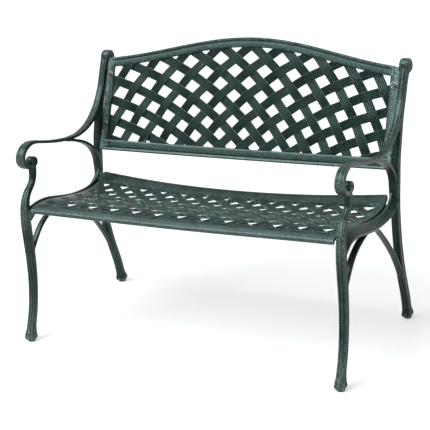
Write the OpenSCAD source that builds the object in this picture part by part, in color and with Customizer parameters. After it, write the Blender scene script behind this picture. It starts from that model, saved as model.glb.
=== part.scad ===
// Cast garden bench: two scrolled side frames, a fan-lattice back and a
// waterfall lattice seat, bolted together through ears on the castings.
// Millimetres. +Z is up and the front faces -Y.  Left and right are as seen
// from in front of the bench, so the right-hand side is at +X.

/* [Side frames] */
// Width of the bench over the outer faces of the two side frames
bench_w = 1016; // [900:4:1200]
// Thickness across the bench of the legs, the post and the seat rail
frame_t = 25; // [24:1:30]
// Thickness across the bench of the arm, the loop and the braces
band_t = 21; // [16:1:22]
// Width across the bench of each flared foot
foot_w = 30; // [26:1:34]

/* [Seat] */
// Clearance between the seat casting and each side frame
seat_gap = 8; // [5:1:9]
// Thickness of the seat casting
seat_t = 8; // [6:1:10]
// Distance between lattice openings along a row of the seat
seat_pitch_x = 73; // [66:1:80]
// Distance between rows of lattice openings on the seat
seat_pitch_y = 36.7; // [34:0.1:38]
// Width of the seat's lattice strips
seat_strip = 27; // [22:1:30]
// How far the middle of the rear edge lies forward of its ends
seat_rear_arc = 23; // [10:1:30]
// How far the middle of the last lattice row lies forward of its ends
seat_row_bow = 18; // [0:1:24]

/* [Back] */
// Lean of the back from upright, in degrees
back_lean = 21; // [18:0.5:24]
// How far the middle of the back bows rearward from its ends
back_bow = 36; // [20:1:45]
// Thickness of the back's lattice strips
back_t = 8; // [6:1:10]
// Thickness of the back's top and bottom rails
back_rail_t = 13; // [11:1:16]
// Width of the back's lattice strips
back_strip = 28; // [22:1:30]
// Distance between rows of lattice openings, along the slope of the back
back_pitch_r = 38.2; // [36:0.1:40]
// Angle between lattice openings, seen from the centre of the fan
back_pitch_a = 5.02; // [4.9:0.02:5.2]
// Slope height of the back at the crown, above the back's reference line
back_crown = 336; // [320:1:345]
// Slope height of the back where it meets the posts
back_shoulder = 257; // [250:1:265]

/* [Fasteners] */
// Nominal diameter of the bolts
bolt_d = 8; // [6:1:8]
// Diameter of the clearance holes
clearance_d = 9; // [9:0.5:10]
// Outside diameter of the flat washers
washer_d = 20; // [17:1:22]

/* [Hidden] */
BACK_PLACES = ["upper_left", "upper_right", "lower_left", "lower_right"];
SEAT_PLACES = ["front_left", "front_right", "rear_left", "rear_right"];

outer_x = bench_w / 2;
inner_x = outer_x - frame_t;
mid_x = outer_x - frame_t / 2;
round_fn = 48;
large_fn = 360;
spline_steps = 4;
shank_gap = 0.05;

// The profile of a side frame, y back from the front foot and z up from the
// floor.  Each member is a spline of [y, z, width] points along its middle.
glide_h = 3;
front_leg = [
    [-1, glide_h, 20], [-1, 7, 27], [-1, 13, 31], [0, 20, 29], [4, 32, 24],
    [9, 50, 21], [22, 85, 20], [33, 130, 20], [40, 180, 20], [44, 240, 21],
    [43, 300, 22], [42, 350, 22], [45, 392, 22], [53, 421, 18], [65, 439, 16],
    [79, 451, 15], [92, 464, 15], [100, 481, 15], [103, 504, 17]
];
post = [
    [504, glide_h, 22], [504, 7, 30], [503, 13, 34], [502, 20, 30],
    [499, 34, 23], [488, 80, 20], [467, 142, 20], [450, 205, 21],
    [440, 267, 22], [435, 330, 22], [436, 380, 21], [442, 430, 20],
    [450, 497, 20], [464, 549, 20], [483, 611, 20], [506, 661, 20],
    [519, 692, 20], [531, 718, 20], [543, 738, 22]
];
seat_rail = [
    [48, 377, 44], [62, 383, 38], [76, 388, 33], [92, 391, 31], [117, 392, 30],
    [150, 389, 30], [200, 378, 29], [250, 368, 26], [300, 363, 23],
    [349, 362, 20], [390, 368, 19], [418, 382, 17], [433, 401, 15]
];
arm = [
    [105, 520, 18], [88, 512, 14], [69, 518, 13], [55, 534, 13], [57, 553, 13],
    [72, 569, 13], [95, 577, 12], [114, 577, 10], [136, 573, 9], [182, 561, 8],
    [232, 550, 9], [282, 543, 9], [312, 541, 9], [345, 541, 10],
    [388, 551, 11], [418, 565, 13], [442, 581, 16], [466, 601, 19],
    [487, 629, 20], [502, 653, 20]
];
loop_band = [
    [270, 541, 8], [300, 535, 8], [326, 527, 9], [350, 518, 9], [374, 506, 9],
    [396, 491, 9], [415, 471, 10], [428, 448, 12], [434, 424, 14],
    [435, 400, 15]
];
front_brace = [
    [44, 256, 10], [60, 275, 9], [80, 299, 9], [104, 322, 9], [132, 340, 9],
    [165, 353, 9], [200, 362, 9]
];
rear_brace = [
    [248, 364, 9], [285, 346, 8], [316, 320, 8], [346, 292, 8], [376, 261, 8],
    [404, 230, 9], [430, 194, 10], [449, 157, 10], [470, 114, 8]
];
foot_h = front_leg[3][1];
foot_widest = front_leg[2];
knob_at = [104, 523];
knob_r = 15;
scroll_at = [551, 740];
scroll_r = 21;

// The top surface of the seat from its front edge back, as [y, z].
seat_top = [
    [45, 391], [50, 398], [62, 403], [86, 405], [117, 403], [150, 398],
    [200, 388], [250, 379], [300, 372], [345, 370], [385, 373], [415, 384],
    [437, 399]
];
lip_r = 6;
lip_at = [49, 390];
rear_rib_w = 7;
rear_rib_h = 16;
seat_half = inner_x - seat_gap;
seat_border = 23;
seat_row_front = 101;
seat_rows = 9;
seat_window_front = 74;
seat_window_rear = 398;
seat_window_arc = 22;
seat_columns = ceil(seat_half / seat_pitch_x);
plan_steps = 24;
above_seat = 450;
ledge_reach = 11;
ledge_t = 5;
ledge_gap = 0.5;
ledge_points = [for (i = [2:len(seat_top) - 2]) seat_top[i]];

// The back's reference line runs across the bench at this y and z.  On the
// leaning plane through it, x runs across, s up the slope and m rearward.
back_y = 443.5;
back_z = 500;
back_gap = 1;
back_half = inner_x - back_gap;
back_border = 26;
back_foot = -32;
back_top_rail_w = 30;
back_foot_rail_w = 33;
back_wave = 0.62;
back_edge_steps = 32;
bow_radius = outer_x * outer_x / (2 * back_bow);
fan_centre = -877;
fan_row_first = 6.7;
fan_rows = 9;
fan_columns = 6;
flange_m = [2, 10];

// Bolt places: the back's as x and slope height, the seat's as x and y.
back_bolt_x = 470;
back_bolt_s = [205, 50];
back_ear_t = 8;
back_ear_w = 30;
seat_bolt_x = 462;
seat_bolt_y = [140, 335];
seat_bolt_z = [402, 370];
seat_boss_r = 9;
seat_boss_h = 4;
seat_ear_t = 7;
seat_ear_w = 28;
seat_hole_depth = 10;
back_hole_depth = 60;
ear_overlap = 2;
cut_past = 1;

flat_washer_t = 1.6;
lock_washer_t = 2;
lock_washer_d = 14;
bolt_length = 20;
head_d = 14;
head_h = 4.4;
socket_af = 5;
socket_depth = 2.6;

glide_d = 22;
glide_stem_d = 8;
glide_stem_h = 12;
glide_y = [front_leg[0][0], post[0][0]];

// The origin is on the floor below the middle of the whole bench.
front_reach = -foot_widest[0] + foot_widest[2] / 2;
rear_reach = back_y + (back_bow + back_rail_t / 2) * cos(back_lean)
    + back_crown * sin(back_lean);
origin_y = (rear_reach - front_reach) / 2;

cast_green = "darkslategray";

// ---- Curves -----------------------------------------------------------

function catmull_rom(a, b, c, d, t) =
    (2 * b + (c - a) * t + (2 * a - 5 * b + 4 * c - d) * t * t
    + (3 * b - a - 3 * c + d) * t * t * t) / 2;

function spline(points) =
    let (last = len(points) - 1)
    concat(
        [for (i = [0:last - 1], k = [0:spline_steps - 1])
            catmull_rom(
                points[max(i - 1, 0)], points[i],
                points[i + 1], points[min(i + 2, last)],
                k / spline_steps)],
        [points[last]]
    );

function flat(point) = [point[0], point[1]];

function normal_at(path, i) =
    let (
        step = flat(path[min(i + 1, len(path) - 1)]) - flat(path[max(i - 1, 0)]),
        unit = step / norm(step)
    )
    [-unit[1], unit[0]];

// The outline of a band whose width varies along its path.
function band_outline(path) =
    let (last = len(path) - 1)
    concat(
        [for (i = [0:last]) flat(path[i]) + normal_at(path, i) * path[i][2] / 2],
        [for (i = [last:-1:0]) flat(path[i]) - normal_at(path, i) * path[i][2] / 2]
    );

function reversed(points) = [for (i = [len(points) - 1:-1:0]) points[i]];

// A lattice opening: a diamond with half diagonals a and b, pulled in on all
// four sides by half the width of a strip.
function pulled_in(a, b, strip) = 1 - strip / 2 * norm([a, b]) / (a * b);

module band(member) {
    polygon(band_outline(spline(member)));
}

// ---- Placing ----------------------------------------------------------

// From the side-frame profile's y to the bench's own frame.
module from_foot() {
    translate([0, -origin_y, 0]) children();
}

// Stands a profile drawn in y and z upright, spread over x from low to high.
module across(low, high) {
    translate([low, 0, 0]) rotate([90, 0, 90]) linear_extrude(high - low) children();
}

// From x, m and s on the leaning back to the bench's own frame.
module on_back() {
    from_foot() translate([0, back_y, back_z]) rotate([-back_lean, 0, 0]) children();
}

// Stands a shape drawn in x and s up along the slope of the back.
module through_back() {
    reach = 2 * back_bow;
    translate([0, reach, 0]) rotate([90, 0, 0]) linear_extrude(2 * reach) children();
}

module mirrored_if(wanted) {
    if (wanted) {
        mirror([1, 0, 0]) children();
    } else {
        children();
    }
}

// Puts a back fastener on its bolt axis, its +Z towards the bolt's head.
module at_back_bolt(place) {
    row = place < 2 ? 0 : 1;
    mirrored_if(place % 2 == 0)
        on_back() translate([back_bolt_x, flange_m[0], back_bolt_s[row]])
            rotate([90, 0, 0]) children();
}

// Puts a seat fastener on its bolt axis, its +Z towards the bolt's head.
module at_seat_bolt(place) {
    row = place < 2 ? 0 : 1;
    under_ear = seat_bolt_z[row] - seat_t - seat_boss_h - seat_ear_t;
    mirrored_if(place % 2 == 0)
        from_foot() translate([seat_bolt_x, seat_bolt_y[row], under_ear])
            mirror([0, 0, 1]) children();
}

module at_foot(place) {
    row = place < 2 ? 0 : 1;
    mirrored_if(place % 2 == 0)
        from_foot() translate([mid_x, glide_y[row], 0]) children();
}

// ---- Side frames ------------------------------------------------------

module thick_profile() {
    band(front_leg);
    band(post);
    band(seat_rail);
    translate(scroll_at) circle(r = scroll_r, $fn = round_fn);
    translate(knob_at) circle(r = knob_r, $fn = round_fn);
}

module thin_profile() {
    band(arm);
    band(loop_band);
    band(front_brace);
    band(rear_brace);
}

// Ledge on the inner face of the seat rail, under the end of the seat.
module ledge_profile() {
    top = lowered(spline(ledge_points), seat_t + ledge_gap);
    polygon(concat(top, reversed(lowered(top, ledge_t))));
}

module foot_flare(member) {
    foot = [for (point = member) if (point[1] <= foot_h) point];
    across(mid_x - foot_w / 2, mid_x + foot_w / 2) band(foot);
}

// Cast ear behind the back's flange, threaded for a bolt.
module back_ear(row) {
    on_back() translate([
        back_bolt_x - back_ear_w / 4,
        flange_m[1],
        back_bolt_s[row] - back_ear_w / 2
    ]) cube([outer_x - back_bolt_x - ear_overlap, back_ear_t, back_ear_w]);
}

// Cast ear under the seat, drilled for a bolt.
module seat_ear(row) {
    top = seat_bolt_z[row] - seat_t - seat_boss_h;
    from_foot() translate([
        seat_bolt_x - seat_ear_w / 2,
        seat_bolt_y[row] - seat_ear_w / 2,
        top - seat_ear_t
    ]) cube([inner_x - seat_bolt_x + seat_ear_w / 2 + ear_overlap, seat_ear_w, seat_ear_t]);
}

module side_frame_solid() {
    difference() {
        union() {
            from_foot() {
                across(inner_x, outer_x) thick_profile();
                across(mid_x - band_t / 2, mid_x + band_t / 2) thin_profile();
                foot_flare(front_leg);
                foot_flare(post);
                across(inner_x - ledge_reach, inner_x + ear_overlap) ledge_profile();
            }
            for (row = [0, 1]) {
                back_ear(row);
                seat_ear(row);
            }
        }
        for (row = [0, 1]) {
            at_back_bolt(2 * row + 1)
                translate([0, 0, -back_hole_depth])
                    cylinder(d = bolt_d + 2 * shank_gap, h = back_hole_depth, $fn = round_fn);
            at_seat_bolt(2 * row + 1)
                translate([0, 0, -seat_ear_t - cut_past])
                    cylinder(d = clearance_d, h = seat_ear_t + 2 * cut_past, $fn = round_fn);
            at_foot(2 * row + 1)
                cylinder(d = glide_stem_d + 2 * shank_gap, h = glide_h + glide_stem_h, $fn = round_fn);
        }
    }
}

module side_frame(left) {
    color(cast_green) mirrored_if(left) side_frame_solid();
}

// ---- Seat -------------------------------------------------------------

function lowered(points, drop) = [for (point = points) point - [0, drop]];

module seat_section(thickness) {
    top = spline(seat_top);
    polygon(concat(top, reversed(lowered(top, thickness))));
    translate(lip_at) circle(r = lip_r, $fn = round_fn);
}

// 1 halfway along the seat, falling to 0 at its ends.
function middle(x) = 1 - pow(min(abs(x) / seat_half, 1), 2);

// Plan from x = -half to half and from a straight front to an arched rear.
module arched_plan(half, front, rear, arc) {
    polygon(concat(
        [[-half, front]],
        [for (i = [0:plan_steps])
            let (x = (2 * i / plan_steps - 1) * half)
            [x, rear - arc * middle(x)]],
        [[half, front]]
    ));
}

// Plan of the seat, its rear edge pulled forward by inset all along.
module seat_plan(inset) {
    rear = seat_top[len(seat_top) - 1][0];
    arched_plan(seat_half, 0, rear - inset, seat_rear_arc);
}

// Plan place of a lattice opening, its row bowed more the further back it is.
function seat_opening_at(row, column) =
    let (
        x = column * seat_pitch_x,
        y = seat_row_front + row * seat_pitch_y,
        bow = seat_row_bow * row / (seat_rows - 1)
    )
    [x, y - bow * middle(x)];

module seat_openings() {
    half_x = seat_pitch_x / 2;
    scale_in = pulled_in(seat_pitch_y, half_x, seat_strip);
    intersection() {
        arched_plan(seat_half - seat_border, seat_window_front, seat_window_rear, seat_window_arc);
        for (row = [0:seat_rows - 1], column = [-seat_columns:seat_columns]) {
            shift = row % 2 == 0 ? 0 : 0.5;
            translate(seat_opening_at(row, column + shift))
                polygon(scale_in * [
                    [half_x, 0], [0, seat_pitch_y], [-half_x, 0], [0, -seat_pitch_y]
                ]);
        }
    }
}

module seat_bosses() {
    for (place = [0:3]) {
        at_seat_bolt(place)
            translate([0, 0, -seat_ear_t - seat_boss_h - seat_t + ear_overlap])
                cylinder(r = seat_boss_r, h = seat_boss_h + seat_t - ear_overlap, $fn = round_fn);
    }
}

module seat_panel() {
    color(cast_green) difference() {
        union() {
            from_foot() intersection() {
                across(-seat_half, seat_half) seat_section(seat_t);
                linear_extrude(above_seat) difference() {
                    seat_plan(0);
                    seat_openings();
                }
            }
            from_foot() intersection() {
                across(-seat_half, seat_half) seat_section(rear_rib_h);
                linear_extrude(above_seat) difference() {
                    seat_plan(0);
                    seat_plan(rear_rib_w);
                }
            }
            seat_bosses();
        }
        for (place = [0:3]) {
            at_seat_bolt(place)
                translate([0, 0, -seat_ear_t - seat_hole_depth])
                    cylinder(
                        d = bolt_d + 2 * shank_gap,
                        h = seat_hole_depth,
                        $fn = round_fn);
        }
    }
}

// ---- Back -------------------------------------------------------------

// Slope height of the top edge: part cosine wave, the rest a parabola.
function back_top(x) =
    let (
        u = min(abs(x) / back_half, 1),
        wave = (1 + cos(180 * u)) / 2,
        dome = 1 - u * u
    )
    back_shoulder + (back_crown - back_shoulder) * (back_wave * wave + (1 - back_wave) * dome);

function back_top_edge(half, drop) =
    [for (i = [back_edge_steps:-1:0])
        let (x = (2 * i / back_edge_steps - 1) * half)
        [x, back_top(x) - drop]];

module back_outline() {
    polygon(concat(
        [[-back_half, back_foot], [back_half, back_foot]],
        back_top_edge(back_half, 0)
    ));
}

module back_window() {
    half = back_half - back_border;
    polygon(concat(
        [[-half, back_foot + back_foot_rail_w], [half, back_foot + back_foot_rail_w]],
        back_top_edge(half, back_top_rail_w)
    ));
}

// Openings in rows around the centre of the fan, every second row offset.
module back_openings() {
    intersection() {
        back_window();
        for (row = [0:fan_rows - 1], column = [-fan_columns:fan_columns]) {
            radius = fan_row_first - fan_centre + row * back_pitch_r;
            half_x = radius * tan(back_pitch_a / 2);
            scale_in = pulled_in(back_pitch_r, half_x, back_strip);
            shift = row % 2 == 0 ? 0.5 : 0;
            translate([0, fan_centre])
                rotate(-(column + shift) * back_pitch_a)
                    translate([0, radius])
                        polygon(scale_in * [
                            [half_x, 0], [0, back_pitch_r], [-half_x, 0], [0, -back_pitch_r]
                        ]);
        }
    }
}

// A shell bent about an axis along the slope, in x, m and s.
module bowed_shell(thickness) {
    height = 2 * back_crown;
    translate([0, back_bow - bow_radius, -height / 2]) difference() {
        cylinder(r = bow_radius + thickness / 2, h = height, $fn = large_fn);
        translate([0, 0, -cut_past])
            cylinder(r = bow_radius - thickness / 2, h = height + 2 * cut_past, $fn = large_fn);
    }
}

module back_flange() {
    start = back_half - back_border;
    translate([start, flange_m[0], back_foot])
        cube([back_border, flange_m[1] - flange_m[0], back_shoulder - back_foot]);
}

module back_panel() {
    color(cast_green) difference() {
        on_back() {
            intersection() {
                bowed_shell(back_t);
                through_back() difference() {
                    back_outline();
                    back_openings();
                }
            }
            intersection() {
                bowed_shell(back_rail_t);
                through_back() intersection() {
                    difference() {
                        back_outline();
                        back_window();
                    }
                    translate([-back_half + back_border, back_foot])
                        square([2 * (back_half - back_border), back_crown - back_foot]);
                }
            }
            back_flange();
            mirror([1, 0, 0]) back_flange();
        }
        for (place = [0:3]) {
            at_back_bolt(place)
                translate([0, 0, -back_hole_depth / 2])
                    cylinder(d = clearance_d, h = back_hole_depth, $fn = round_fn);
        }
    }
}

// ---- Fasteners and feet -----------------------------------------------

module flat_washer() {
    color("silver") difference() {
        cylinder(d = washer_d, h = flat_washer_t, $fn = round_fn);
        translate([0, 0, -cut_past])
            cylinder(d = clearance_d, h = flat_washer_t + 2 * cut_past, $fn = round_fn);
    }
}

module lock_washer() {
    slit = 1;
    color("silver") translate([0, 0, flat_washer_t]) difference() {
        cylinder(d = lock_washer_d, h = lock_washer_t, $fn = round_fn);
        translate([0, 0, -cut_past])
            cylinder(d = clearance_d, h = lock_washer_t + 2 * cut_past, $fn = round_fn);
        translate([0, -slit / 2, -cut_past])
            cube([lock_washer_d, slit, lock_washer_t + 2 * cut_past]);
    }
}

module bolt() {
    head_z = flat_washer_t + lock_washer_t;
    edge = 1.2;
    color("dimgray") difference() {
        union() {
            translate([0, 0, head_z - bolt_length]) cylinder(d = bolt_d, h = bolt_length, $fn = round_fn);
            translate([0, 0, head_z]) cylinder(d = head_d, h = head_h - edge, $fn = round_fn);
            translate([0, 0, head_z + head_h - edge])
                cylinder(d1 = head_d, d2 = head_d - 2 * edge, h = edge, $fn = round_fn);
        }
        translate([0, 0, head_z + head_h - socket_depth])
            cylinder(d = socket_af / cos(30), h = socket_depth + cut_past, $fn = 6);
    }
}

module foot_glide() {
    color("black") {
        cylinder(d = glide_d, h = glide_h, $fn = round_fn);
        cylinder(d = glide_stem_d, h = glide_h + glide_stem_h - cut_past, $fn = round_fn);
    }
}

// ---- The bench --------------------------------------------------------

side_frame(true);  // side_frame_left
side_frame(false);  // side_frame_right
seat_panel();
back_panel();

for (place = [0:3]) {
    back_place = BACK_PLACES[place];
    seat_place = SEAT_PLACES[place];
    at_back_bolt(place) bolt();
    at_back_bolt(place) lock_washer();
    at_back_bolt(place) flat_washer();
    at_seat_bolt(place) bolt();
    at_seat_bolt(place) lock_washer();
    at_seat_bolt(place) flat_washer();
    at_foot(place) foot_glide();
}
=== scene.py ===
"""A cast-aluminium garden bench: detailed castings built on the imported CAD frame.

Lengths in this script are millimetres until a mesh is made, and metres from
there on.  x runs across the bench, y back and z up.  A side frame's profile is
drawn in y and z, with y measured back from near the front foot.
"""
import math

import bmesh
import bpy
import numpy as np
from mathutils import Matrix, Vector


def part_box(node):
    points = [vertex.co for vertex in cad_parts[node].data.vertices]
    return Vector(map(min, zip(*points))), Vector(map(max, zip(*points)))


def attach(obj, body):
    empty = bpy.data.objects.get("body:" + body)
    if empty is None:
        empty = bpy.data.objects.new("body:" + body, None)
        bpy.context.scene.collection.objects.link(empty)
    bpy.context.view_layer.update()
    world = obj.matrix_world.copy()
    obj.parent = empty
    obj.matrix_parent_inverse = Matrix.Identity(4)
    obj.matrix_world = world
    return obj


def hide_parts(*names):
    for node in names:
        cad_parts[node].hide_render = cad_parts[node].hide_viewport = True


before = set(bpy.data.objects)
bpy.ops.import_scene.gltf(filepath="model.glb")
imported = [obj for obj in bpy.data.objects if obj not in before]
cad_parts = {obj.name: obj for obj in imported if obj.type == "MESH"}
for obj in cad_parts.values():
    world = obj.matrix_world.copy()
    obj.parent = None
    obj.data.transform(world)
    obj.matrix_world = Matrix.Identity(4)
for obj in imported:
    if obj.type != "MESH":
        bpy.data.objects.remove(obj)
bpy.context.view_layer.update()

MM = 0.001
SHARP_ANGLE = math.radians(38)

# ---- Driving dimensions ------------------------------------------------

# The profile's y is 0 one millimetre behind the middle of the front glide.
glide_low, glide_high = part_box("foot_glide_front_right")
FRONT_GLIDE_Y = -1
ORIGIN_Y = FRONT_GLIDE_Y - (glide_low.y + glide_high.y) / 2 / MM
MID_X = (glide_low.x + glide_high.x) / 2 / MM
OUTER_X = 508  # outer face of the side frames
INNER_X = 2 * MID_X - OUTER_X

# Each member's middle line as [y, z, width in the profile, width across].
FRONT_LEG = [
    (-1, 3, 20, 20), (-1, 7, 27, 26), (-1, 13, 31, 30), (0, 20, 29, 28), (4, 32, 24, 24.5), (9, 50, 21, 22.5),
    (22, 85, 21, 22), (33, 130, 21, 22), (40.5, 180, 21.5, 22.5), (44, 240, 23, 23), (43, 300, 24, 24),
    (42, 350, 24, 24), (45, 392, 22, 23), (53, 421, 17.5, 21), (65, 439, 15.5, 19.5), (79, 451, 14.5, 18.5),
    (92, 464, 14.5, 18), (100, 481, 15, 18.5), (103.5, 504, 16, 20), (104, 516, 12, 17),
]
POST = [
    (504, 3, 22, 20), (504, 7, 30, 26), (503, 13, 34, 28.5), (502, 20, 30, 27), (499, 34, 23, 23.5),
    (488, 80, 22.5, 22.5), (467, 142, 22.5, 22.5), (450, 205, 22, 23), (440, 267, 22, 23), (435, 330, 22, 23),
    (436, 380, 21, 23), (442, 430, 20, 23), (450, 497, 20, 23), (464, 549, 20, 23), (483, 611, 20, 23),
    (506, 661, 20, 23), (519, 692, 20, 23), (531, 718, 20, 24), (543, 738, 22, 25),
]
SEAT_RAIL = [
    (48, 377, 44, 23), (62, 382.5, 37, 24.5), (76, 387, 31, 25), (92, 390, 29, 25), (117, 391, 28, 25),
    (150, 387.5, 28, 25), (200, 376.5, 27, 25), (250, 367, 24, 25), (300, 362, 21, 25), (349, 361.5, 19, 25),
    (390, 368, 19, 25), (418, 383, 19, 25), (432, 402, 18, 25),
]
ARM = [
    (105, 520, 18, 24), (88, 512.5, 14, 26), (69, 518, 13, 27), (55, 534, 13, 28), (57, 553, 13, 27),
    (72, 569, 13.5, 26), (95, 577, 12.5, 23), (114, 577.5, 10.5, 20), (136, 573.5, 9, 18),
    (182, 561.5, 8.5, 17), (232, 550.5, 9, 17), (282, 543, 9, 17.5), (312, 541, 9, 19), (345, 541.5, 9.5, 20),
    (388, 551, 11, 21), (418.5, 565, 13, 22), (442, 581, 16, 23), (466, 601.5, 19, 23), (487, 629, 20, 23),
    (502.5, 653, 20, 23),
]
LOOP = [
    (262, 545, 5, 18), (280, 540, 8, 18.5), (300, 535.5, 8.5, 19), (326, 527, 9, 19), (350, 518, 9, 20),
    (374, 506, 9, 21), (396, 491, 9, 22), (415, 471, 10, 23), (427, 448, 13, 24), (432, 424, 17, 25),
    (434, 400, 18, 25),
]
FRONT_BRACE = [
    (44, 256, 10, 19), (60, 275, 9, 19), (80, 299, 9, 19), (104, 322, 9, 19), (132, 340, 9, 19),
    (165, 353, 9, 19), (200, 362, 9, 19),
]
REAR_BRACE = [
    (248, 364, 9, 19), (285, 346, 8, 19), (316, 320, 8, 19), (346, 292, 8, 19), (376, 261, 8, 19),
    (404, 230, 9, 19), (428, 197, 10, 19), (446, 168, 10, 19), (463, 136, 8, 19),
]
# The rolled end of the neck and the one on top of the post, as [y, z, radius, width across].
KNOB = (104, 523, 15.5, 26)
SCROLL = (551, 740, 21, 30)
# How far the post's scroll and the loop sit inside the frame's middle plane.
SCROLL_INSET = 1.5
LOOP_INSET = 3
# The ledge under the seat, from inner to outer x, its thickness, and the gap over it.
LEDGE_X = (472, 492)
LEDGE_T = 5
LEDGE_GAP = 0.5

# The seat's top surface from its front edge back, as [y, z].
SEAT_TOP = [
    (45, 391.5), (50, 398.5), (62, 403), (86, 405), (117, 403), (150, 398), (200, 388), (250, 379),
    (300, 372), (345, 370), (385, 373.5), (415, 384), (437, 399),
]
SEAT_GAP = 8  # between the seat and each side frame
SEAT_HALF = INNER_X - SEAT_GAP
SEAT_BORDER = 23  # width of the plain border at each end
SEAT_T = 8
SEAT_WINDOW = (74, 400)  # front and rear y of the lattice, at the seat's ends
# How far the middle of the rear edge, of the lattice's rear and of a row there lie forward of their ends.
SEAT_REAR_ARC = 23
SEAT_WINDOW_BOW = 22
SEAT_ROW_BOW = 18
SEAT_ROW_FRONT = 99  # y of the first row of openings
SEAT_PITCH_X = 73
SEAT_PITCH_Y = 35.8
SEAT_ROWS = 9
SEAT_STRIP = 27  # width of a lattice strip
SEAT_SAG = 3.5  # how much lower the seat is halfway along
SEAT_LATTICE_DROP = 1.4  # the lattice's middle below the border's top
SEAT_GROOVE = (66, 1.6, 0.9)  # y, spread and depth of the line behind the front edge
SEAT_ROUND = (2.5, 2.2)  # reach and depth of the rounding at the ends and rear edge
LIP = (49, 391, 6)  # y, z and radius of the rolled front lip
BOSS_R = 9
BOSS_DROP = 4  # the boss's lower face under the seat's underside

# The back leans about a line at this y and z.  On it x runs across, s up the
# slope and m rearward.
BACK_Y = 443.5
BACK_Z = 500
BACK_LEAN = math.radians(21)
BACK_BOW = 36  # how far the middle bows rearward from the ends
BOW_RADIUS = OUTER_X ** 2 / (2 * BACK_BOW)
BACK_GAP = 0.5  # between the back and each side frame
BACK_HALF = INNER_X - BACK_GAP
BACK_BORDER = 26  # width of each end flange
# Thickness of the rails, and the widths of the top and the bottom one.
BACK_RAIL_T = 13
BACK_TOP_RAIL = 30
BACK_FOOT_RAIL = 33
# s of the bottom edge, of the top edge halfway along and of the top edge at the posts.
BACK_FOOT = -32
BACK_CROWN = 336
BACK_SHOULDER = 257
CROWN_WAVE = 0.62  # how much of the top edge's arch is a wave rather than a dome
# The fan's centre as s, the radius of its first row, and its pitch along and across.
FAN_CENTRE = -877
FAN_FIRST = 883.7
FAN_PITCH = 38.1
FAN_ANGLE = math.radians(5.016)
FAN_LIFT = (1.2, 4.0)  # rise of all rows, and their further rise per radian to the right
FAN_ROWS = 9
BACK_STRIP = 28  # width of a lattice strip
FLANGE_M = (2, 10)  # front and rear faces of the end flanges

# Bolts through the back's flanges as [x, s], and up into the seat as [x, y, z of the seat's top].
BACK_BOLTS = [(470, 205), (470, 50)]
SEAT_BOLTS = [(462, 140, 402), (462, 335, 370)]
THREAD_R = 4.05
CLEARANCE_R = 4.5

# Lattice strips as thickness and how far they weave up and down.
BACK_WEAVE = (4.2, 2.3)
SEAT_WEAVE = (4.3, 1.2)
RIBS = 4
RIB_DEPTH = 2.0
LATTICE_STEP = 0.2  # rows between two sections of a strip
ACROSS_POINTS = 61  # points or sections of an outline, a lip or a rib across the bench
RAIL_SECTIONS = 97  # sections of a rail of the back


# ---- Meshes ------------------------------------------------------------

def to_frame(points):
    """Millimetres with y from the front foot, to metres in the row frame."""
    return (np.asarray(points, float) - (0, ORIGIN_Y, 0)) * MM


def linked(name, data):
    """A new object in the scene for a mesh, lamp or camera."""
    made = bpy.data.objects.new(name, data)
    bpy.context.scene.collection.objects.link(made)
    return made


def solid_object(name, solid):
    """A new object from a bmesh, which is used up."""
    mesh = bpy.data.meshes.new(name)
    solid.to_mesh(mesh)
    solid.free()
    return linked(name, mesh)


def mesh_object(name, points, faces):
    """A closed solid from points in millimetres, its faces turned outward."""
    mesh = bpy.data.meshes.new(name)
    mesh.from_pydata(to_frame(points).tolist(), [], faces)
    solid = bmesh.new()
    solid.from_mesh(mesh)
    bmesh.ops.recalc_face_normals(solid, faces=solid.faces)
    solid.to_mesh(mesh)
    solid.free()
    return linked(name, mesh)


def tube(name, rings):
    """A closed solid through equal rings of points, capped at both ends."""
    rings = np.asarray(rings, float)
    count, sides = rings.shape[:2]
    faces = []
    for i in range(count - 1):
        for j in range(sides):
            k = (j + 1) % sides
            faces.append((i * sides + j, i * sides + k, (i + 1) * sides + k, (i + 1) * sides + j))
    faces.append(tuple(range(sides)))
    faces.append(tuple(range((count - 1) * sides, count * sides)))
    return mesh_object(name, rings.reshape(-1, 3), faces)


def plate(name, top, bottom, keep):
    """A closed plate between two grids of points, with only the kept cells."""
    rows, columns = top.shape[:2]
    index = np.arange(rows * columns).reshape(rows, columns)
    under = index + rows * columns
    faces = []
    for i in range(rows - 1):
        for j in range(columns - 1):
            if not keep[i][j]:
                continue
            corners = [(i, j), (i + 1, j), (i + 1, j + 1), (i, j + 1)]
            faces.append(tuple(index[c] for c in corners))
            faces.append(tuple(under[c] for c in reversed(corners)))
            beside = [(i, j - 1), (i + 1, j), (i, j + 1), (i - 1, j)]
            for edge in range(4):
                a, b = corners[edge], corners[(edge + 1) % 4]
                p, q = beside[edge]
                outside = not (0 <= p < rows - 1 and 0 <= q < columns - 1)
                if outside or not keep[p][q]:
                    faces.append((index[b], index[a], under[a], under[b]))
    points = np.concatenate([top.reshape(-1, 3), bottom.reshape(-1, 3)])
    used = sorted({v for face in faces for v in face})
    place = {v: n for n, v in enumerate(used)}
    return mesh_object(name, points[used], [tuple(place[v] for v in face) for face in faces])


def united(name, first, others, operation="UNION"):
    """One closed solid: the first, joined with, cut by or kept within the others, which are used up."""
    for other in others:
        step = first.modifiers.new(other.name, "BOOLEAN")
        step.operation = operation
        step.solver = "MANIFOLD"
        step.object = other
        bpy.context.view_layer.update()
        graph = bpy.context.evaluated_depsgraph_get()
        mesh = bpy.data.meshes.new_from_object(first.evaluated_get(graph))
        first.modifiers.clear()
        first.data = mesh
        bpy.data.objects.remove(other)
    first.name = name
    first.data.name = name
    return first


def finish_piece(piece, material, slot, *nodes):
    """Shades a piece, gives it its material and stands it in for CAD nodes."""
    piece.data.materials.clear()
    piece.data.materials.append(material)
    piece.data.shade_smooth()
    piece.data.set_sharp_from_angle(angle=SHARP_ANGLE)
    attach(piece, "root")
    if nodes:
        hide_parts(*nodes)
    return piece


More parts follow.
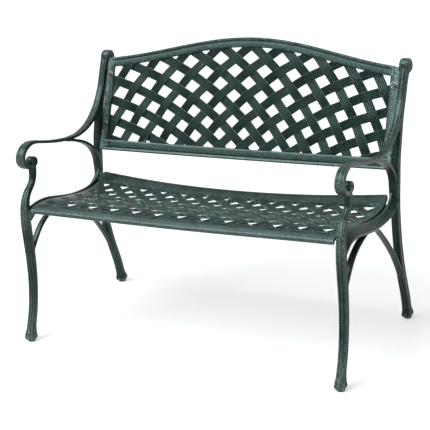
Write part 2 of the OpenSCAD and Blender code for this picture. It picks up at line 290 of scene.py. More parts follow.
def spline(points, step):
    """A smooth curve through the points, with about one point every step."""
    points = np.asarray(points, float)
    ends = np.concatenate([points[:1], points, points[-1:]])
    path = []
    for i in range(len(points) - 1):
        a, b, c, d = ends[i:i + 4]
        parts = max(1, round(np.linalg.norm((c - b)[:2]) / step))
        for k in range(parts):
            t = k / parts
            path.append(0.5 * (2 * b + (c - a) * t + (2 * a - 5 * b + 4 * c - d) * t ** 2
                               + (3 * b - a - 3 * c + d) * t ** 3))
    path.append(points[-1])
    return np.array(path)


def unit(vectors):
    """Each row scaled to length 1."""
    return vectors / np.linalg.norm(vectors, axis=1)[:, None]


def normals(path):
    """Unit normals of a flat path, to its left."""
    run = unit(np.gradient(path, axis=0))
    return np.stack([-run[:, 1], run[:, 0]], -1)


# ---- Side frames -------------------------------------------------------

# A section is a ring of [a, n] points about a limb's middle line, a across the
# bench and n across the limb in its profile.

def cast_section(width, across):
    """A limb's section: rounded corners, a grooved crown on two faces and a sunk outer face."""
    corner_share, groove_share, crown_share, sunk_share = 0.17, 0.035, 0.04, 0.05
    half_a, half_n = across / 2, width / 2
    radius = corner_share * min(width, across)
    groove, crown = groove_share * width, crown_share * width
    flat = half_a - radius
    arc = np.radians(np.linspace(0, 90, 4))
    # The crowned face, as the share of its half width and the rise there.
    half_face = [(0.78, 0), (0.66, -groove), (0.52, crown / 2)]
    face = half_face + [(0, crown)] + [(-share, rise) for share, rise in reversed(half_face)]
    points = []
    for sign_a, sign_n, turn in ((1, 1, 0), (-1, 1, 90), (-1, -1, 180), (1, -1, 270)):
        centre = np.array([sign_a * (half_a - radius), sign_n * (half_n - radius)])
        angle = arc + math.radians(turn)
        points.extend(centre + radius * np.stack([np.cos(angle), np.sin(angle)], -1))
        if turn in (0, 180):
            points.extend((sign_n * share * flat, sign_n * (half_n + rise)) for share, rise in face)
    sunk = half_a - sunk_share * width
    side = half_n - radius
    points.extend([(half_a, -0.8 * side), (sunk, -0.6 * side), (sunk, 0.6 * side), (half_a, 0.8 * side)])
    return np.array(points)


def rail_side_section(width, across):
    """The seat rail's section: a crest inside, sloping down to a beaded outer edge."""
    half_a, half_n = across / 2, width / 2
    return np.array([
        (half_a - 1, -half_n), (half_a, -0.9 * half_n), (half_a + 0.5, -0.72 * half_n),
        (half_a - 0.4, -0.5 * half_n), (half_a - 2.4, -0.42 * half_n), (0.3 * half_a, 0.12 * half_n),
        (-0.1 * half_a, 0.5 * half_n), (-0.3 * half_a, 0.78 * half_n), (-0.42 * half_a, half_n),
        (-0.56 * half_a, half_n + 0.5), (-0.74 * half_a, half_n), (-0.9 * half_a, 0.92 * half_n),
        (-half_a, 0.75 * half_n), (-half_a, -0.85 * half_n), (-half_a + 1.5, -half_n)])


def oval_section(width, across):
    """A brace's section: an oval with full corners."""
    angle = np.linspace(0, 2 * math.pi, 24, endpoint=False)
    fullness = 0.6
    a = np.sign(np.cos(angle)) * np.abs(np.cos(angle)) ** fullness * across / 2
    n = np.sign(np.sin(angle)) * np.abs(np.sin(angle)) ** fullness * width / 2
    return np.stack([a, n], -1)


def bar_section(width, across):
    """A plain rectangular section."""
    a, n = across / 2, width / 2
    return np.array([(a, -n), (a, n), (-a, n), (-a, -n)])


def limb(name, member, section, x=MID_X):
    """A member of the right frame, swept along its middle line in the plane at x."""
    path = spline(member, step=3)
    rings = []
    for point, normal in zip(path, normals(path[:, :2])):
        shape = section(point[2], point[3])
        rings.append(np.column_stack([x + shape[:, 0], point[:2] + shape[:, 1:] * normal]))
    return tube(name, rings)


def turned(name, centre, profile, inset=0, sides=48):
    """A solid turned about an axis along x, from [radius, x] points."""
    angle = np.linspace(0, 2 * math.pi, sides, endpoint=False)
    rings = []
    for radius, x in profile:
        rings.append(np.column_stack([
            np.full(sides, MID_X - inset + x),
            centre[0] + radius * np.cos(angle),
            centre[1] + radius * np.sin(angle)]))
    return tube(name, rings)


def scroll_end(name, spec, inset=0):
    """A rolled scroll end: rounded rim, sunk ring and a raised eye."""
    y, z, radius, across = spec
    half = across / 2
    edge = 0.28 * radius
    ring_depth, eye_rise, rim_crown = 1.6, 0.6, 0.4
    side = [
        (0.02 * radius, half + eye_rise), (0.22 * radius, half), (0.34 * radius, half - ring_depth),
        (0.52 * radius, half - ring_depth), (0.66 * radius, half), (radius - edge, half),
        (radius - 0.3 * edge, half - 0.35 * edge), (radius, half - edge),
    ]
    profile = [(r, -x) for r, x in side] + [(radius + rim_crown, 0)] + side[::-1]
    return turned(name, (y, z), profile, inset)


def box_solid(name, low, high, place=None, bevel=1.2):
    """A box with softened edges between two corners, moved by place if that is given."""
    solid = bmesh.new()
    bmesh.ops.create_cube(solid, size=1)
    low, high = np.array(low, float), np.array(high, float)
    for vertex in solid.verts:
        vertex.co = Vector(low + (np.array(vertex.co) + 0.5) * (high - low))
    bmesh.ops.bevel(solid, geom=solid.edges[:], offset=bevel, segments=2, affect="EDGES")
    points = np.array([vertex.co for vertex in solid.verts])
    if place:
        points = place(points)
    for vertex, point in zip(solid.verts, to_frame(points)):
        vertex.co = Vector(point)
    bmesh.ops.recalc_face_normals(solid, faces=solid.faces)
    return solid_object(name, solid)


def round_bar(name, start, end, radius, sides=32):
    """A cylinder between two points."""
    start, end = np.array(start, float), np.array(end, float)
    run = (end - start) / np.linalg.norm(end - start)
    side = np.cross(run, (1, 0, 0) if abs(run[0]) < 0.9 else (0, 1, 0))
    side /= np.linalg.norm(side)
    up = np.cross(run, side)
    angle = np.linspace(0, 2 * math.pi, sides, endpoint=False)[:, None]
    ring = radius * (np.cos(angle) * side + np.sin(angle) * up)
    return tube(name, [start + ring, end + ring])


def on_back(points):
    """From x, m and s on the leaning back to x, y and z."""
    x, m, s = np.moveaxis(np.asarray(points, float), -1, 0)
    y = BACK_Y + m * math.cos(BACK_LEAN) + s * math.sin(BACK_LEAN)
    z = BACK_Z + s * math.cos(BACK_LEAN) - m * math.sin(BACK_LEAN)
    return np.stack([x, y, z], -1)


def frame_ears():
    """The lugs behind the back's flanges and under the seat's bosses."""
    ears = []
    inward, outward, half_s, thick = 7.5, 20, 15, 8
    for x, s in BACK_BOLTS:
        low = (x - inward, FLANGE_M[1], s - half_s)
        high = (x + outward, FLANGE_M[1] + thick, s + half_s)
        ears.append(box_solid("ear", low, high, on_back))
    inward, outward, half_y, thick = 14, 30, 14, 7
    for x, y, z in SEAT_BOLTS:
        top = z - SEAT_T - BOSS_DROP
        ears.append(box_solid("ear", (x - inward, y - half_y, top - thick), (x + outward, y + half_y, top)))
    return ears


def frame_bores():
    """Cutters for the threaded holes of the back's ears and the clear holes of the seat's."""
    bores = []
    before, behind = -20, 60
    for x, s in BACK_BOLTS:
        bores.append(round_bar("bore", on_back((x, before, s)), on_back((x, behind, s)), THREAD_R))
    below, above = -30, 10
    for x, y, z in SEAT_BOLTS:
        bores.append(round_bar("bore", (x, y, z + below), (x, y, z + above), CLEARANCE_R))
    return bores


def side_frame(side):
    """One side frame; side is 1 for the right-hand one and -1 for the left."""
    name = "cast_side_frame_right" if side > 0 else "cast_side_frame_left"
    body = limb("leg", FRONT_LEG, cast_section)
    ledge_drop = SEAT_T + LEDGE_T / 2 + LEDGE_GAP
    ledge = [(y, z - ledge_drop, LEDGE_T, LEDGE_X[1] - LEDGE_X[0]) for y, z in SEAT_TOP[2:-1]]
    parts = [
        limb("post", POST, cast_section),
        limb("rail", SEAT_RAIL, rail_side_section),
        limb("arm", ARM, cast_section),
        limb("loop", LOOP, cast_section, MID_X - LOOP_INSET),
        limb("front_brace", FRONT_BRACE, oval_section),
        limb("rear_brace", REAR_BRACE, oval_section),
        limb("ledge", ledge, bar_section, sum(LEDGE_X) / 2),
        scroll_end("knob", KNOB),
        scroll_end("scroll", SCROLL, SCROLL_INSET),
    ]
    body = united(name, body, parts + frame_ears())
    body = united(name, body, frame_bores(), "DIFFERENCE")
    if side < 0:
        body.data.transform(Matrix.Scale(-1, 4, (1, 0, 0)))
        body.data.flip_normals()
    return body


# ---- Lattice strips ----------------------------------------------------

def strip_section(width, thick):
    """A strip's section: lengthwise ribs above between two rounded edges, plain below."""
    half, low, top = width / 2, -thick / 2, thick / 2
    edge = 1.3
    crest = (0.35, 0.65)
    points = [(-half, low + edge), (-half, top - edge), (-half + edge, top)]
    step = (width - 4 * edge) / RIBS
    for k in range(RIBS):
        start = -half + 2 * edge + k * step
        points.append((start, top - RIB_DEPTH))
        points.extend((start + step * share, top) for share in crest)
    points.append((half - 2 * edge, top - RIB_DEPTH))
    points.extend([(half - edge, top), (half, top - edge), (half, low + edge), (half - edge, low),
                   (-half + edge, low)])
    return np.array(points)


def woven_strips(name, lines, width, weave, place, over):
    """Parallel strips along lines of lattice points; over is 1 or -1, for up or down at even rows."""
    thick, swing = weave
    section = strip_section(width, thick)
    objects = []
    for line in lines:
        rings = []
        flat = place(line, 0)
        run = unit(np.gradient(flat, axis=0))
        above = unit(place(line, 1) - flat)
        side = unit(np.cross(run, above))
        rise = over * swing * np.cos(np.pi * line[:, 1])
        for point, across, up, lift in zip(flat, side, above, rise):
            rings.append(point + section[:, :1] * across + (section[:, 1:] + lift) * up)
        objects.append(tube(name, rings))
    return joined(name, objects)


def joined(name, objects):
    """Several separate solids as one object."""
    solid = bmesh.new()
    for each in objects:
        solid.from_mesh(each.data)
        bpy.data.objects.remove(each)
    return solid_object(name, solid)


def lattice_lines(rows, reach, slope, offset):
    """Lines of [column, row] points along one diagonal, out to reach columns either way."""
    first, fewest = -1, 4
    lines = []
    count = math.ceil(reach + rows)
    for n in range(-count, count + 1):
        start = 2 * n + offset
        row = np.arange(first, rows, LATTICE_STEP)
        column = (start - row) / 2 * slope
        inside = np.abs(column) < reach
        if inside.sum() >= fewest:
            lines.append(np.stack([column[inside], row[inside]], -1))
    return lines


def woven_lattice(rows, reach, offset, width, weave, place, outline):
    """Strips over and under each other along both diagonals, kept within a closed outline."""
    rising = woven_strips("rising", lattice_lines(rows, reach, -1, offset), width, weave, place, 1)
    falling = woven_strips("falling", lattice_lines(rows, reach, 1, offset), width, weave, place, -1)
    lattice = united("lattice", rising, [falling])
    return united("lattice", lattice, [tube("window", outline)], "INTERSECT")


# ---- Seat --------------------------------------------------------------

SEAT_CURVE = spline(SEAT_TOP, step=2)


def seat_height(y):
    """Height of the seat's top at its ends."""
    return np.interp(y, SEAT_CURVE[:, 0], SEAT_CURVE[:, 1])


def middle(x):
    """1 halfway along the seat, falling to 0 at its ends."""
    return 1 - np.minimum(np.abs(x) / SEAT_HALF, 1) ** 2


def seat_rear(x):
    """How far back the seat reaches, with its rear corners rounded."""
    corner, roundness = 8, 0.98
    from_end = np.clip((np.abs(x) - SEAT_HALF + corner) / corner, 0, 1)
    cut = corner * (1 - np.sqrt(1 - from_end ** 2 * roundness))
    return SEAT_TOP[-1][0] - SEAT_REAR_ARC * middle(x) - cut


def window_rear(x):
    """How far back the seat's lattice reaches."""
    return SEAT_WINDOW[1] - SEAT_WINDOW_BOW * middle(x)


def on_seat(line, lift):
    """From [column, row] and a lift to a point in the seat's lattice."""
    x = line[:, 0] * SEAT_PITCH_X
    straight = SEAT_ROW_FRONT + line[:, 1] * SEAT_PITCH_Y
    depth = (straight - SEAT_TOP[0][0]) / (SEAT_TOP[-1][0] - SEAT_TOP[0][0])
    y = straight - SEAT_ROW_BOW * depth * middle(x)
    slope = (seat_height(y + 1) - seat_height(y - 1)) / 2
    up = unit(np.stack([np.zeros_like(x), -slope, np.ones_like(x)], -1))
    z = seat_height(y) - SEAT_SAG * middle(x) ** 2 - SEAT_LATTICE_DROP
    return np.stack([x, y, z], -1) + lift * up


def seat_border():
    """The smooth border sheet round the seat's lattice window, on a grid that is finer at its edges."""
    window_x = SEAT_HALF - SEAT_BORDER
    x_side = SEAT_HALF - np.array([0, 0.8, 2.5, 6, 14, SEAT_BORDER])
    x = np.concatenate([-x_side, np.linspace(-window_x, window_x, ACROSS_POINTS)[1:-1], x_side[::-1]])
    front = np.array([45, 46, 48, 51, 55, 60, 64, 65.5, 67, 68.5, 72, SEAT_WINDOW[0]])
    along = np.linspace(0, 1, 33)
    across = SEAT_WINDOW[0] + along[None, :] * (window_rear(x)[:, None] - SEAT_WINDOW[0])
    behind = np.array([0, 0.12, 0.25, 0.4, 0.55, 0.7, 0.85, 0.94, 0.985, 1])
    rear = window_rear(x)[:, None] + behind[None, :] * (seat_rear(x) - window_rear(x))[:, None]
    y = np.concatenate([np.tile(front[:-1], (len(x), 1)), across[:, :-1], rear], 1)
    z = seat_height(y) - SEAT_SAG * middle(x)[:, None] ** 2
    groove_y, groove_spread, groove_depth = SEAT_GROOVE
    groove = groove_depth * np.exp(-((y - groove_y) / groove_spread) ** 2)
    reach, depth = SEAT_ROUND
    end = np.clip((np.abs(x)[:, None] - SEAT_HALF + reach) / reach, 0, 1)
    edge = np.clip((y - seat_rear(x)[:, None] + reach) / reach, 0, 1)
    fall = depth * (1 - np.sqrt(1 - np.clip(end ** 2 + edge ** 2, 0, 1)))
    top = np.stack([np.repeat(x[:, None], y.shape[1], 1), y, z - groove - fall], -1)
    bottom = top.copy()
    bottom[..., 2] = z - SEAT_T
    keep = np.ones((len(x) - 1, y.shape[1] - 1), bool)
    first, last = len(x_side) - 1, len(x) - len(x_side)
    keep[first:last, len(front) - 1:len(front) + len(along) - 2] = False
    return plate("border", top, bottom, keep)


def seat_lattice():
    """The seat's woven strips, out to a little under its border."""
    margin = 6
    window_x = SEAT_HALF - SEAT_BORDER + margin
    outline = [(-window_x, SEAT_WINDOW[0] - margin), (window_x, SEAT_WINDOW[0] - margin)]
    outline += [(x, float(window_rear(x)) + margin) for x in np.linspace(window_x, -window_x, ACROSS_POINTS)]
    below, above = 300, 450
    walls = [[(x, y, z) for x, y in outline] for z in (below, above)]
    reach = SEAT_HALF / SEAT_PITCH_X
    return woven_lattice(SEAT_ROWS, reach, 1, SEAT_STRIP, SEAT_WEAVE, on_seat, walls)


def seat_edges():
    """The rolled lip along the front and the rib under the rear edge."""
    angle = np.linspace(0, 2 * math.pi, 24, endpoint=False)
    lip_y, lip_z, lip_r = LIP
    rib_low = 16
    lip, rib = [], []
    for x in np.linspace(-SEAT_HALF + 1, SEAT_HALF - 1, ACROSS_POINTS):
        sag = SEAT_SAG * middle(x) ** 2
        lip.append([(x, lip_y + lip_r * math.cos(a), lip_z - sag + lip_r * math.sin(a)) for a in angle])
        y = float(seat_rear(x)) - 1
        z = float(seat_height(y)) - sag
        rib.append([(x, y - 6, z - 2), (x, y, z - 3), (x, y - 1, z - rib_low), (x, y - 5, z - rib_low)])
    return [tube("lip", lip), tube("rib", rib[1:-1])]


def seat_bars(name, low, high, radius):
    """Upright bars at the four seat bolts, between two heights over the seat's top."""
    return [
        round_bar(name, (side * x, y, z + low), (side * x, y, z + high), radius)
        for side in (-1, 1) for x, y, z in SEAT_BOLTS
    ]


def seat_panel():
    """The woven seat casting with its rolled lip, rear rib and bosses."""
    boss_low, boss_high, bore_low = -SEAT_T - BOSS_DROP, -2.5, -30
    parts = [seat_lattice()] + seat_edges() + seat_bars("boss", boss_low, boss_high, BOSS_R)
    seat = united("cast_seat_panel", seat_border(), parts)
    return united("cast_seat_panel", seat, seat_bars("bore", bore_low, -BOSS_DROP, THREAD_R), "DIFFERENCE")


# ---- Back --------------------------------------------------------------

def back_top(x):
    """Slope height of the back's top edge."""
    u = np.minimum(np.abs(x) / BACK_HALF, 1)
    wave, dome = (1 + np.cos(np.pi * u)) / 2, 1 - u ** 2
    return BACK_SHOULDER + (BACK_CROWN - BACK_SHOULDER) * (CROWN_WAVE * wave + (1 - CROWN_WAVE) * dome)


def bow(x):
    """How far rearward the back bows from the line through its ends."""
    return BACK_BOW - np.asarray(x) ** 2 / (2 * BOW_RADIUS)


def on_fan(line, lift):
    """From [column, row] and a lift to a point in the back's lattice."""
    angle = line[:, 0] * FAN_ANGLE
    radius = FAN_FIRST + line[:, 1] * FAN_PITCH + FAN_LIFT[0] + FAN_LIFT[1] * angle
    x = radius * np.sin(angle)
    s = FAN_CENTRE + radius * np.cos(angle)
    return on_back(np.stack([x, bow(x) - lift, s], -1))


def back_rail(name, edge, section, half):
    """A rail of [drop, m] points below an edge that runs across the back."""
    rings = []
    for x in np.linspace(-half, half, RAIL_SECTIONS):
        drop, m = section[:, 0], section[:, 1]
        rings.append(on_back(np.stack([np.full(len(m), x), bow(x) + m, edge(x) - drop], -1)))
    return tube(name, rings)


def rail_section(width):
    """A rail's [drop, m] points: a round bead along the outer edge, a groove, and a flat band."""
    bead = 5
    face = BACK_RAIL_T / 2
    angle = np.radians(np.linspace(75, -75, 9))
    points = [(bead - bead * math.cos(a), -face * math.sin(a)) for a in angle]
    groove_depth = 3.6
    rear = [
        (bead * 1.75, face - 1.2), (bead * 1.95, face - groove_depth), (bead * 2.3, face - groove_depth),
        (bead * 2.5, face - 1.6), (width - 5, face - 0.6), (width - 1.5, face - 1.2), (width, face - 2.8),
    ]
    points.extend(rear)
    points.extend([(drop, -m) for drop, m in reversed(rear)])
    return np.array(points)


def back_lattice():
    """The back's woven strips, out to a little under its rails and flanges."""
    margin = 7
    half = BACK_HALF - BACK_BORDER + margin
    low = BACK_FOOT + BACK_FOOT_RAIL - margin
    outline = [(-half, low), (half, low)]
    across = np.linspace(half, -half, ACROSS_POINTS)
    outline += [(x, float(back_top(x)) - BACK_TOP_RAIL + margin) for x in across]
    before, behind = -80, 120
    walls = [on_back([(x, m, s) for x, s in outline]) for m in (before, behind)]
    beyond = 30
    reach = (BACK_HALF + beyond) / (FAN_FIRST * FAN_ANGLE)
    return woven_lattice(FAN_ROWS + 0.5, reach, 0, BACK_STRIP, BACK_WEAVE, on_fan, walls)


def back_panel():
    """The bowed fan-lattice casting with its beaded rails and end flanges."""
    overlap = 10
    inner = BACK_HALF - BACK_BORDER + overlap
    foot_section = rail_section(BACK_FOOT_RAIL) * (-1, 1) + (BACK_FOOT_RAIL, 0)
    parts = [
        back_lattice(),
        back_rail("top_rail", back_top, rail_section(BACK_TOP_RAIL), inner),
        back_rail("foot_rail", lambda x: BACK_FOOT + BACK_FOOT_RAIL, foot_section, inner),
    ]
    cuts = []
    for side in (-1, 1):
        ends = sorted((side * (BACK_HALF - BACK_BORDER), side * BACK_HALF))
        low, high = (ends[0], FLANGE_M[0], BACK_FOOT), (ends[1], FLANGE_M[1], BACK_SHOULDER)
        parts.append(box_solid("flange", low, high, on_back, bevel=1.5))
        for x, s in BACK_BOLTS:
            start, end = on_back((side * x, -10, s)), on_back((side * x, 40, s))
            cuts.append(round_bar("bore", start, end, CLEARANCE_R))
    back = united("cast_back_panel", parts[0], parts[1:])
    return united("cast_back_panel", back, cuts, "DIFFERENCE")


# ---- Materials ---------------------------------------------------------

DARK_GREEN = (0.002, 0.006, 0.005)
MID_GREEN = (0.009, 0.021, 0.019)
PATINA = (0.030, 0.056, 0.052)
# Pale colour on raised edges: wear and a painted highlight.
EDGE_WEAR_AND_HIGHLIGHT = (0.15, 0.23, 0.22)
# Pale colour at the front: wear and a painted highlight.
WORN_AND_HIGHLIGHT = (0.13, 0.17, 0.17)
# Painted shade in creases and grooves.
PAINTED_CREVICE_SHADE = (0.002, 0.005, 0.004)
GREEN_GLOSS = (0.72, 1, 0.97, 1)

# Each layer of the coat fades in as its noise, or the surface's Pointiness, goes
# from the first number to the second.
CLOUD_FADE = (0.35, 0.68)
PATINA_FADE = (0.54, 0.66)
EDGE_WEAR_AND_HIGHLIGHT_FADE = (0.42, 0.6)
WEAR_AND_HIGHLIGHT_FADE = (0.38, 0.6)
# The first range is for the painted highlight on raised edges, the second for the painted shade in creases.
RAISED_EDGE = (0.518, 0.59)
SUNK_EDGE = (0.498, 0.465)
COVER = 0.9
WEAR_AND_HIGHLIGHT_COVER = 0.45

# Where the coat wears pale and a highlight is painted: the front, in metres, down to the seat and up from the
# feet.
WEAR_AND_HIGHLIGHT_FRONT = (-0.23, -0.252)
WEAR_AND_HIGHLIGHT_ABOVE = (0.31, 0.38)
WEAR_AND_HIGHLIGHT_BELOW = (0.16, 0.05)


def new_material(name):
    """A node material, with its tree and its shader."""
    material = bpy.data.materials.new(name)
    material.use_nodes = True
    return material, material.node_tree, material.node_tree.nodes["Principled BSDF"]


def node(tree, kind, **values):
    """A new node with its settings and its sockets set by name."""
    made = tree.nodes.new(kind)
    for key, value in values.items():
        if hasattr(made, key):
            setattr(made, key, value)
        else:
            made.inputs[key.replace("_", " ")].default_value = value
    return made


def noise(tree, place, **values):
    """Noise over the object's own coordinates."""
    made = node(tree, "ShaderNodeTexNoise", **values)
    tree.links.new(place, made.inputs["Vector"])
    return made.outputs["Fac"]


def ramp(tree, source, low, high, start=0.0, end=1.0):
    """A smooth change from start to end as a value goes from low to high."""
    made = node(tree, "ShaderNodeMapRange", interpolation_type="SMOOTHSTEP", From_Min=low, From_Max=high,
                To_Min=start, To_Max=end)
    tree.links.new(source, made.inputs["Value"])
    return made.outputs["Result"]


def spread(tree, source, low, high):
    """A value of 0 to 1 spread evenly from low to high."""
    made = node(tree, "ShaderNodeMapRange", To_Min=low, To_Max=high)
    tree.links.new(source, made.inputs["Value"])
    return made.outputs["Result"]


def combined(tree, operation, first, second):
    """One Math node on two values, each a number or a socket."""
    made = node(tree, "ShaderNodeMath", operation=operation)
    for value, socket in zip((first, second), made.inputs):
        if isinstance(value, float):
            socket.default_value = value
        else:
            tree.links.new(value, socket)
    return made.outputs["Value"]


def product(tree, first, second):
    """One value times another."""
    return combined(tree, "MULTIPLY", first, second)


def blend(tree, factor, under, over):
    """One colour laid over another by a factor, each a colour or a socket."""
    made = node(tree, "ShaderNodeMix", data_type="RGBA")
    tree.links.new(factor, made.inputs["Factor"])
    colours = [socket for socket in made.inputs if socket.type == "RGBA"]
    for value, socket in zip((under, over), colours):
        if isinstance(value, tuple):
            socket.default_value = (*value, 1)
        else:
            tree.links.new(value, socket)
    return next(socket for socket in made.outputs if socket.type == "RGBA")


def two_tone(tree, source, low, high, start=0.0, end=1.0):
    """A colour that runs from low to high as a value goes from start to end."""
    made = node(tree, "ShaderNodeValToRGB")
    for element, position, colour in zip(made.color_ramp.elements, (start, end), (low, high)):
        element.position = position
        element.color = (*colour, 1)
    tree.links.new(source, made.inputs["Fac"])
    return made.outputs["Color"]


def front_wear_and_highlight(tree, place):
    """1 on the front of the arms, the necks, the lip and the front feet, where the coat rubs pale and a
    highlight is painted.
    """
    split = node(tree, "ShaderNodeSeparateXYZ")
    tree.links.new(place, split.inputs["Vector"])
    front = ramp(tree, split.outputs["Y"], *WEAR_AND_HIGHLIGHT_FRONT)
    above = ramp(tree, split.outputs["Z"], *WEAR_AND_HIGHLIGHT_ABOVE)
    below = ramp(tree, split.outputs["Z"], *WEAR_AND_HIGHLIGHT_BELOW)
    return product(tree, front, combined(tree, "MAXIMUM", above, below))


def cast_colour(tree, place, cloud, speck):
    """Dark green in clouds, flecked with patina; pale on edges and at the front from wear and a painted
    highlight; dark in creases from painted shade.
    """
    shape = node(tree, "ShaderNodeNewGeometry")
    raised = ramp(tree, shape.outputs["Pointiness"], *RAISED_EDGE)
    # Concave creases and grooves, where shade is painted.
    sunk = ramp(tree, shape.outputs["Pointiness"], *SUNK_EDGE)
    # Raised edges, flecked: wear and a painted highlight.
    edge_wear_and_highlight = product(tree, raised, ramp(tree, speck, *EDGE_WEAR_AND_HIGHLIGHT_FADE))
    # The front, flecked: wear and a painted highlight.
    worn_and_highlight = product(tree, front_wear_and_highlight(tree, place), ramp(tree, speck, *WEAR_AND_HIGHLIGHT_FADE))
    colour = blend(tree, ramp(tree, cloud, *CLOUD_FADE), DARK_GREEN, MID_GREEN)
    colour = blend(tree, product(tree, ramp(tree, speck, *PATINA_FADE), COVER), colour, PATINA)
    # Lays the wear and the painted highlight over raised edges.
    colour = blend(tree, product(tree, edge_wear_and_highlight, COVER), colour, EDGE_WEAR_AND_HIGHLIGHT)
    # Lays the wear and the painted highlight over the front.
    colour = blend(tree, product(tree, worn_and_highlight, WEAR_AND_HIGHLIGHT_COVER), colour, WORN_AND_HIGHLIGHT)
    # Lays the painted shade into creases and grooves.
    return blend(tree, product(tree, sunk, COVER), colour, PAINTED_CREVICE_SHADE)


def cast_green():
    """Antique dark green powder coat over a sand-cast surface, pale on raised edges and at the front from
    wear and a painted highlight, and dark in creases from painted shade.
    """
    material, tree, shader = new_material("antique_green_cast")
    place = node(tree, "ShaderNodeTexCoord").outputs["Object"]
    cloud = noise(tree, place, Scale=30.0, Detail=5.0, Roughness=0.6)
    speck = noise(tree, place, Scale=300.0, Detail=3.0, Roughness=0.65)
    grain = noise(tree, place, Scale=1100.0, Detail=2.0)
    tree.links.new(cast_colour(tree, place, cloud, speck), shader.inputs["Base Color"])
    tree.links.new(spread(tree, speck, 0.2, 0.42), shader.inputs["Roughness"])
    bumps = node(tree, "ShaderNodeBump", Strength=0.6, Distance=0.0009)
    tree.links.new(speck, bumps.inputs["Height"])
    pits = node(tree, "ShaderNodeBump", Strength=0.3, Distance=0.0002)
    tree.links.new(grain, pits.inputs["Height"])
    tree.links.new(bumps.outputs["Normal"], pits.inputs["Normal"])
    tree.links.new(pits.outputs["Normal"], shader.inputs["Normal"])
    shader.inputs["Specular IOR Level"].default_value = 0.25
    shader.inputs["Specular Tint"].default_value = GREEN_GLOSS
    return material


def steel(name, low, high):
    """Bolt or washer steel, stained between two greys."""
    material, tree, shader = new_material(name)
    place = node(tree, "ShaderNodeTexCoord").outputs["Object"]
    stain = noise(tree, place, Scale=300.0, Detail=5.0)
    tree.links.new(two_tone(tree, stain, low, high, 0.35, 0.65), shader.inputs["Base Color"])
    tree.links.new(spread(tree, stain, 0.25, 0.5), shader.inputs["Roughness"])
    shader.inputs["Metallic"].default_value = 0.9
    return material


def nylon():
    """Black moulded nylon, slightly scuffed."""
    material, tree, shader = new_material("black_nylon")
    scuff = node(tree, "ShaderNodeTexNoise", Scale=250.0, Detail=4.0).outputs["Fac"]
    tone = two_tone(tree, scuff, (0.008, 0.008, 0.009), (0.03, 0.03, 0.032))
    tree.links.new(tone, shader.inputs["Base Color"])
    shader.inputs["Roughness"].default_value = 0.6
    return material


# ---- Setting -----------------------------------------------------------

# Yaw, pitch and roll in radians, and place in metres, as solved for the photograph's angle.
CAMERA_TURN = (0.516338, 0.317279, -0.079031)
CAMERA_PLACE = (1.7078, (-2724.9 - ORIGIN_Y) * MM, 1.4801)
CAMERA_LENS = 105.56
CAMERA_SENSOR = 36

FLOOR_HALF = 20
FLOOR_GREY = (0.3, 0.3, 0.3, 1)
FLOOR_GLOW = (0.99, 1, 1, 1)
FLOOR_GLOW_STRENGTH = 0.56

KEY_STRENGTH = 5.2
KEY_COLOUR = (0.98, 1, 1)
KEY_SPREAD = math.radians(38)
KEY_TURN = math.radians(-36)
KEY_TILT = math.radians(38)

# The sky's strength over one axis of its direction: from and to this far along it,
# it goes from and to this strong.
SKY_COLOUR = (0.96, 1, 1, 1)
SKY_SIDE = (-0.3, 0.5, 1.15, 0.03)
SKY_RISE = (0.0, 0.8, 0.12, 1.15)
SKY_OVERHEAD = (0.4, 0.95, 0.0, 0.7)
SKY_BACKDROP = (0.5, 0.8, 0.0, 0.7)
SKY_HORIZON = (0.2, 0.13, 0.0, 1.0)


def camera():
    """The camera, front right of the bench and looking slightly down."""
    yaw, pitch, roll = CAMERA_TURN
    forward = Vector((
        -math.sin(yaw) * math.cos(pitch), math.cos(yaw) * math.cos(pitch), -math.sin(pitch)))
    level = Vector((math.cos(yaw), math.sin(yaw), 0))
    upright = level.cross(forward)
    right = level * math.cos(roll) + upright * math.sin(roll)
    up = upright * math.cos(roll) - level * math.sin(roll)
    data = bpy.data.cameras.new("camera")
    data.sensor_width = CAMERA_SENSOR
    data.lens = CAMERA_LENS
    seen = linked("camera", data)
    turn = Matrix((right, up, -forward)).transposed().to_4x4()
    turn.translation = Vector(CAMERA_PLACE)
    seen.matrix_world = turn
    bpy.context.scene.camera = seen


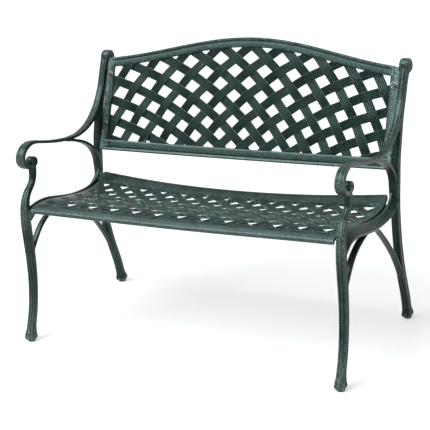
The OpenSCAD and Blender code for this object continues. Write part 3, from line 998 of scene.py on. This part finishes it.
def floor():
    """A plain pale floor that glows a little, so that it fades into the sky."""
    mesh = bpy.data.meshes.new("floor")
    corners = [(-1, -1, 0), (1, -1, 0), (1, 1, 0), (-1, 1, 0)]
    mesh.from_pydata([(x * FLOOR_HALF, y * FLOOR_HALF, z) for x, y, z in corners], [], [(0, 1, 2, 3)])
    ground = linked("floor", mesh)
    material, _, shader = new_material("pale_floor")
    shader.inputs["Base Color"].default_value = FLOOR_GREY
    shader.inputs["Roughness"].default_value = 0.9
    shader.inputs["Specular IOR Level"].default_value = 0
    shader.inputs["Emission Color"].default_value = FLOOR_GLOW
    shader.inputs["Emission Strength"].default_value = FLOOR_GLOW_STRENGTH
    mesh.materials.append(material)


def key_light():
    """A broad key from the front left."""
    key = bpy.data.lights.new("key", "SUN")
    key.energy = KEY_STRENGTH
    key.color = KEY_COLOUR
    key.angle = KEY_SPREAD
    lamp = linked("key", key)
    lamp.matrix_world = Matrix.Rotation(KEY_TURN, 4, "Z") @ Matrix.Rotation(KEY_TILT, 4, "X")


def sky():
    """A sky strong overhead and to the left and dark to the right, with a pale backdrop and horizon."""
    world = bpy.data.worlds.new("studio")
    world.use_nodes = True
    tree = world.node_tree
    place = node(tree, "ShaderNodeTexCoord")
    split = node(tree, "ShaderNodeSeparateXYZ")
    tree.links.new(place.outputs["Generated"], split.inputs["Vector"])
    x, y, z = (split.outputs[axis] for axis in "XYZ")
    strength = product(tree, ramp(tree, x, *SKY_SIDE), ramp(tree, z, *SKY_RISE))
    strength = combined(tree, "ADD", strength, ramp(tree, z, *SKY_OVERHEAD))
    strength = combined(tree, "MAXIMUM", strength, ramp(tree, y, *SKY_BACKDROP))
    strength = combined(tree, "MAXIMUM", strength, ramp(tree, z, *SKY_HORIZON))
    background = tree.nodes["Background"]
    tree.links.new(strength, background.inputs["Strength"])
    background.inputs["Color"].default_value = SKY_COLOUR
    bpy.context.scene.world = world


# ---- The bench ---------------------------------------------------------

camera()
floor()
key_light()
sky()
bpy.context.scene.view_settings.view_transform = "Standard"

green = cast_green()
finish_piece(side_frame(1), green, "cast_aluminium", "side_frame_right")
finish_piece(side_frame(-1), green, "cast_aluminium", "side_frame_left")
finish_piece(seat_panel(), green, "cast_aluminium", "seat_panel")
finish_piece(back_panel(), green, "cast_aluminium", "back_panel")

bolt_steel = steel("dark_bolt_steel", (0.03, 0.035, 0.035), (0.12, 0.13, 0.13))
washer_steel = steel("bright_washer_steel", (0.10, 0.12, 0.12), (0.28, 0.31, 0.31))
finishes = {"bolt": bolt_steel, "washer": washer_steel, "glide": nylon()}
for name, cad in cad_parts.items():
    for word, material in finishes.items():
        if word in name:
            for each in cad.material_slots:
                each.material = material
